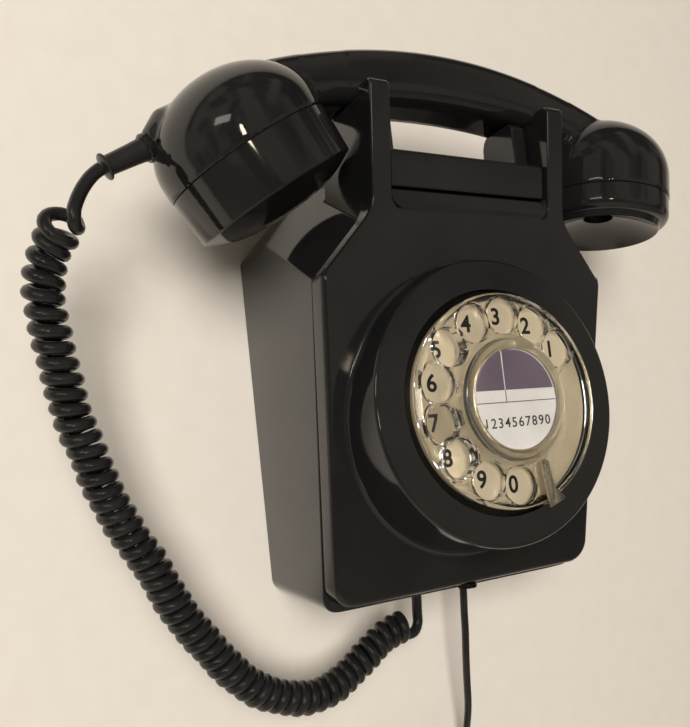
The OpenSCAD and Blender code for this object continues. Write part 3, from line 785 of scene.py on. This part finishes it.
def make_caps():
    r = 31
    h = 17.5
    crown = [(0, 6.1), (7, 5.9), (14, 5.3), (20, 4.1), (24.5, 2.6), (28, 0.9)]
    outline = ([(24.4, 0.1), (r - 0.3, 0.1), (r, 0.4), (r - 0.1, h * 0.5), (r - 0.35, h - 1)]
               + arc((r - 1.35, h - 1), 1, 0, 65, 5)
               + [(radius, h + rise) for radius, rise in reversed(crown)]
               + [(radius * 0.94, h + rise - 2.7) for radius, rise in crown] + [(24.4, h - 0.6)])
    cap = revolve("transmitter_cap", outline, MOUTH, 160)
    turns = [math.radians(60 * i) for i in range(6)]
    spots = [(0, 0)] + [(10 * math.cos(a), 10 * math.sin(a)) for a in turns]
    hole = [(0, 15), (1.6, 15), (1.6, 30), (0, 30)]
    holes = []
    for i, (x, y) in enumerate(spots):
        place = MOUTH @ Matrix.Translation(Vector((x * MM, y * MM, 0)))
        holes.append(revolve(f"sound_{i}", hole, place, 24))
    boolean(cap, joined("sound_holes", holes))
    finish_piece(cap, HANDSET_BLACK, "handset", ("mouth_cap",), 38)
    r = 30
    h = 10.8
    outline = ([(6.5, 3), (23, 3), (23, 0.1), (r - 0.3, 0.1), (r, 0.4), (r, h - 4)]
               + arc((r - 4, h - 4), 4, 0, 82, 10)
               + arc((0, h + 40), 45.5, -56, -81.9, 12) + [(6.4, 5.4)])
    cap = revolve("receiver_cap", outline, EAR, 160)
    finish_piece(cap, HANDSET_BLACK, "handset", ("ear_cap",), 38)


def make_sleeve():
    outline = [(0, 2), (3.9, 2), (3.95, 2.6), (3.8, 3.4), (3.6, 7), (3.4, 12), (3.3, 15), (3.35, 15.6),
               (4.2, 15.8)]
    outline += arc((3.95, 16.35), 0.55, -60, 70, 6) + [(3.6, 16.95), (2.2, 17.4), (0, 17.5)]
    piece = revolve("cord_sleeve", outline, ENTRY, 48)
    finish_piece(piece, SLEEVE_BLACK, "handset", ("strain_relief",), 50)
    collar = revolve("cord_collar", [(2.1, 0), (4.9, 0), (4.9, 1.6), (4.5, 2), (2.1, 2)], ENTRY, 48)
    finish_piece(collar, HANDSET_BLACK, "handset", ("cord_block",), 40)


make_handset()
make_caps()
make_sleeve()


# ---- dial ----
HOLE_R = 6.8
HOLE_RING_R = 30.6
FIRST_HOLE = 36
HOLE_PITCH = 26
HOLE_TURNS = [FIRST_HOLE + HOLE_PITCH * i for i in range(10)]
HUB_Z = 6.6


def hole_spot(turn):
    a = math.radians(turn)
    return HOLE_RING_R * math.cos(a), HOLE_RING_R * math.sin(a)


def spur(name, turn):
    """The raised three-cornered facet between two finger holes, pointing outward."""
    place = DIAL @ spun(turn, "Z")
    return extrude(name, [(23.2, -2.7), (28.6, 0), (23.2, 2.7)], 3.2, 4.5, place)


def make_wheel():
    """One clear moulding: a thin web, a beaded rim, a collar round each hole and a hub."""
    rim = 39
    outline = ([(2.5, 0.6), (7.6, 0.6), (8, 1), (8.2, 2.3), (rim - 2.4, 2.3), (rim - 1.8, 1.7),
                (rim - 1.4, 1.6)]
               + arc((rim - 0.8, 2.4), 0.8, -90, 0, 4) + arc((rim - 0.9, 3.9), 0.9, 0, 180, 8)
               + [(rim - 2.4, 3.6), (26.2, 3.6), (24.6, 4.1), (22.6, 6.3), (22, 6.55), (16.2, 6.55),
                  (16, 6.4), (16, 4.3), (15.6, 4), (2.5, 4)])
    wheel = revolve("finger_wheel_clear", outline, DIAL, 160)
    cut = [(0, 1), (HOLE_R + 0.4, 1), (HOLE_R, 2.8), (HOLE_R, 4.1), (HOLE_R + 0.6, 5), (0, 5)]
    places = []
    for i, turn in enumerate(HOLE_TURNS):
        x, y = hole_spot(turn)
        place = DIAL @ Matrix.Translation(Vector((x * MM, y * MM, 0)))
        ring = ([(HOLE_R - 0.4, 2.5), (HOLE_R + 1.3, 2.5), (HOLE_R + 1.25, 3.9)]
                + arc((HOLE_R + 0.55, 3.95), 0.65, 0, 90, 4) + [(HOLE_R - 0.4, 4.6)])
        boolean(wheel, revolve(f"collar_{i}", ring, place, 48), "UNION")
        places.append(place)
    for i, turn in enumerate(HOLE_TURNS + [FIRST_HOLE - HOLE_PITCH]):
        boolean(wheel, spur(f"spur_{i}", turn + HOLE_PITCH / 2), "UNION")
    for i, place in enumerate(places):
        boolean(wheel, revolve(f"hole_cut_{i}", cut, place, 48))
    finish_piece(wheel, CLEAR, "dial", ("finger_wheel",), 32)


def digit(text, x, y, size, low, high, bold=0.0):
    """A flat numeral from the built-in font, centred at (x, y) in the dial's frame."""
    curve = bpy.data.curves.new(f"numeral_{text}", "FONT")
    curve.body = text
    curve.size = size
    curve.align_x = "CENTER"
    curve.align_y = "CENTER"
    curve.offset = bold
    curve.extrude = (high - low) / 2
    curve.resolution_u = 6
    holder = bpy.data.objects.new(f"numeral_{text}", curve)
    bpy.context.collection.objects.link(holder)
    depsgraph = bpy.context.evaluated_depsgraph_get()
    mesh = bpy.data.meshes.new_from_object(holder.evaluated_get(depsgraph))
    bpy.data.objects.remove(holder)
    middle = (low + high) / 2
    mesh.transform(DIAL @ Matrix.Translation(Vector((x, y, middle)) * MM) @ Matrix.Scale(MM, 4))
    return make_object(f"numeral_{text}", mesh)


def make_number_plate():
    outline = [(6, -2), (38, -2), (38.2, -1.8), (38.2, -0.1), (37.9, 0.2), (24.5, 0.2), (24.2, 0.05),
               (23.8, 0.05), (23.5, 0.2), (6.2, 0.2), (6, 0)]
    plate = revolve("number_plate_disc", outline, DIAL, 160)
    finish_piece(plate, CHAMPAGNE, "case", ("number_plate",), 30)
    numerals = []
    for i, turn in enumerate(HOLE_TURNS):
        x, y = hole_spot(turn)
        numerals.append(digit(str((i + 1) % 10), x - 0.3, y + 0.2, 8.6, 0.12, 0.26, 0.2))
    piece = joined("dial_numerals", numerals)
    finish_piece(piece, INK, "case", (), 30)


def clipped(outline, a, b, c):
    """The part of a convex outline where a*x + b*y <= c."""
    out = []
    for i, p in enumerate(outline):
        q = outline[(i + 1) % len(outline)]
        dp = a * p[0] + b * p[1] - c
        dq = a * q[0] + b * q[1] - c
        if dp <= 0:
            out.append(p)
        if dp * dq < 0:
            t = dp / (dp - dq)
            out.append((p[0] + t * (q[0] - p[0]), p[1] + t * (q[1] - p[1])))
    return out


def card_field(name, radius, x0, x1, y0, y1, low, high):
    outline = arc((0, 0), radius, 0, 360, 96)[:-1]
    for a, b, c in ((1, 0, x1), (-1, 0, -x0), (0, 1, y1), (0, -1, -y0)):
        outline = clipped(outline, a, b, c)
    return extrude(name, outline, low, high, DIAL)


def make_card():
    """The card with plain printed fields, a row of digits, its clear window and the ring round it."""
    r = 18
    beyond = 20
    base = HUB_Z
    top = base + 0.36
    print_low = top - 0.08
    profile = [(0, base), (r - 0.1, base), (r - 0.1, top - 0.06), (0, top - 0.06)]
    card = revolve("dial_card_disc", profile, DIAL, 96)
    finish_piece(card, CARD_WHITE, "dial", ("dial_card",), 40)
    left = -4.4
    gap = 0.25
    low = 3.3
    row = -0.9
    rim = r - 0.4
    fields = [card_field("field_left", rim, -beyond, left - gap, low, beyond, print_low, top),
              card_field("field_right", rim, left + gap, beyond, low, beyond, print_low, top)]
    finish_piece(joined("card_fields", fields), CARD_PURPLE, "dial", (), 40)
    lines = [card_field("field_band", rim, -beyond, beyond, row - 0.3, row, print_low, top),
             card_field("field_divider", rim, left - 0.15, left + 0.15, row, low, print_low, top)]
    numerals = [digit(str((i + 1) % 10), -14 + 3 * i, -8.4, 4.9, print_low, top, 0.05) for i in range(10)]
    finish_piece(joined("card_numerals", numerals + lines), INK, "dial", (), 40)
    profile = [(0, base + 0.5), (r - 0.2, base + 0.5), (r, base + 0.7), (r, base + 1.4),
               (r - 0.4, base + 1.8), (0, base + 1.8)]
    window = revolve("card_window_disc", profile, DIAL, 128)
    finish_piece(window, CLEAR, "dial", ("card_window",), 32)
    profile = ([(r + 0.1, base + 0.05), (22.1, base + 0.05), (21.6, base + 1.2)]
               + arc((20.6, base + 1.3), 0.9, 0, 90, 6)
               + [(19.6, base + 2.0), (19.2, base + 1.8), (18.9, base + 2.1), (18.4, base + 2.1),
                  (r + 0.1, base + 1.8)])
    ring = revolve("card_ring_clear", profile, DIAL, 160)
    finish_piece(ring, CLEAR, "dial", ("card_ring",), 32)


STOP_TURN = -70.5


def make_finger_stop():
    """A bent metal strip with a pressed rib, standing on a foot at the rim of the dial."""
    place = DIAL @ spun(STOP_TURN, "Z")
    strip = [(25, 0.2), (24.5, 1.2), (24.8, 2.7), (25.8, 3.5), (32, 2.1), (35.4, 1.9), (40.4, 4.3), (41, 3.6),
             (41, -3.4), (38.8, -3.4), (31.2, -1.5)]
    rib = [(26, 1.3), (25.8, 2.4), (26.6, 2.7), (32, 1.3), (38.4, -0.4), (39.4, -1.4), (38.6, -2.2),
           (31.4, -0.6)]
    foot = [(39.7, -3.2), (40.9, -3.2), (40.9, 3.4), (39.7, 3.4)]
    parts = [extrude("strip", strip, 5.8, 6.5, place), extrude("rib", rib, 6.2, 6.8, place),
             extrude("foot", foot, -2, 6.2, place)]
    piece = joined("stop_strip", parts)
    mod = piece.modifiers.new("round", "BEVEL")
    mod.width = 0.2 * MM
    mod.segments = 2
    mod.angle_limit = math.radians(40)
    modifier_applied(piece)
    finish_piece(piece, STOP_METAL, "case", ("finger_stop",), 35)


make_wheel()
make_number_plate()
make_card()
make_finger_stop()


# ---- materials of the CAD parts that keep their own shape ----
OWN_SHAPE = {
    STEEL: ["chassis_plate", "cradle_pin", "cradle_spring", "ringer_frame", "ringer_magnet", "hammer_pin",
            "gong_screws", "cord_clamps", "dial_screws", "main_shaft", "pinion_shaft", "governor_weights",
            "mainspring", "mouth_capsule", "ear_capsule"],
    DARK_STEEL: ["dial_case", "cover_screw"],
    BRASS: ["switch_springs", "board_pillars", "terminal_screws", "hammer", "main_gear", "governor_cup",
            "pulse_contacts"],
    BELL_METAL: ["gong_left", "gong_right"],
    COPPER: ["induction_coil", "ringer_coils"],
    BOARD: ["circuit_board"],
    FOIL: ["capacitor"],
    IVORY: ["terminal_block", "pulse_cam"],
    SLEEVE_BLACK: ["gland_handset", "gland_line"],
}
for mat, names in OWN_SHAPE.items():
    for node in names:
        for own in nodes[node].material_slots:
            own.link = "OBJECT"
            own.material = mat


# ---- wall, floor and lights ----
# In metres. The wall stands a hair behind the object's back, so the two faces never coincide.
WALL_Y = 0.0004
HALF_WIDTH = 3
FRONT_Y = -4
FLOOR_Z = -1.3
WALL_TOP = 2.2


def flat_sheet(name, corners, mat):
    mesh = bpy.data.meshes.new(name)
    mesh.from_pydata(corners, [], [(0, 1, 2, 3)])
    sheet = make_object(name, mesh)
    sheet.data.materials.append(mat)
    return sheet


def make_stage():
    corners = [(-HALF_WIDTH, WALL_Y, FLOOR_Z), (HALF_WIDTH, WALL_Y, FLOOR_Z),
               (HALF_WIDTH, WALL_Y, WALL_TOP), (-HALF_WIDTH, WALL_Y, WALL_TOP)]
    wall = flat_sheet("wall", corners, WALL_PAINT)
    corners = [(-HALF_WIDTH, FRONT_Y, FLOOR_Z), (HALF_WIDTH, FRONT_Y, FLOOR_Z),
               (HALF_WIDTH, WALL_Y, FLOOR_Z), (-HALF_WIDTH, WALL_Y, FLOOR_Z)]
    floor = flat_sheet("floor", corners, FLOOR_PAINT)


def area_light(name, place, target, size, power, color, size_y=None):
    """A square light, or a rectangular one where size_y is given, facing a target; power in watts."""
    data = bpy.data.lights.new(name, "AREA")
    data.energy = power
    data.color = color
    data.size = size
    if size_y:
        data.shape = "RECTANGLE"
        data.size_y = size_y
    lamp = bpy.data.objects.new(name, data)
    lamp.location = place
    lamp.rotation_euler = (Vector(target) - Vector(place)).to_track_quat("-Z", "Y").to_euler()
    bpy.context.collection.objects.link(lamp)
    return lamp


def make_lights():
    """The key lights the surfaces, and the lamp and strip show only as reflections in them."""
    key = area_light("key", place=(-0.62, -1.6, 0.28), target=(0, 0, 0.02), size=0.75, power=29.5,
                     color=(1, 0.965, 0.93))
    key.visible_glossy = False
    lamp = area_light("lamp", place=(-0.54, -1.48, 0.07), target=(-0.08, 0, 0.09), size=0.1, power=1.6,
                      color=(1, 0.86, 0.66), size_y=0.17)
    lamp.visible_diffuse = False
    strip = area_light("strip", place=(-1.05, -1.15, 0.5), target=(0, 0, 0.05), size=0.5, power=1.8,
                       color=(1, 0.92, 0.8), size_y=0.3)
    strip.visible_diffuse = False
    world = bpy.data.worlds.new("room")
    world.use_nodes = True
    shade_node = world.node_tree.nodes["Background"]
    shade_node.inputs["Strength"].default_value = 0.13
    tree = world.node_tree
    where = tree.nodes.new("ShaderNodeTexCoord")
    mapping = tree.nodes.new("ShaderNodeMapping")
    mapping.inputs["Scale"].default_value = (1.6, 1.6, 0.7)
    mapping.inputs["Location"].default_value = (0.35, 0.1, 0.2)
    noise = tree.nodes.new("ShaderNodeTexNoise")
    noise.inputs["Scale"].default_value = 1.9
    noise.inputs["Detail"].default_value = 1.5
    ramp = tree.nodes.new("ShaderNodeValToRGB")
    ramp.color_ramp.elements[0].position = 0.42
    ramp.color_ramp.elements[0].color = (0.18, 0.2, 0.2, 1)
    ramp.color_ramp.elements[1].position = 0.58
    ramp.color_ramp.elements[1].color = (2.0, 1.75, 1.42, 1)
    tree.links.new(where.outputs["Generated"], mapping.inputs["Vector"])
    tree.links.new(mapping.outputs["Vector"], noise.inputs["Vector"])
    tree.links.new(noise.outputs["Fac"], ramp.inputs["Fac"])
    tree.links.new(ramp.outputs["Color"], shade_node.inputs["Color"])
    bpy.context.scene.world = world
    bpy.context.scene.view_settings.view_transform = "Standard"


make_stage()
make_lights()
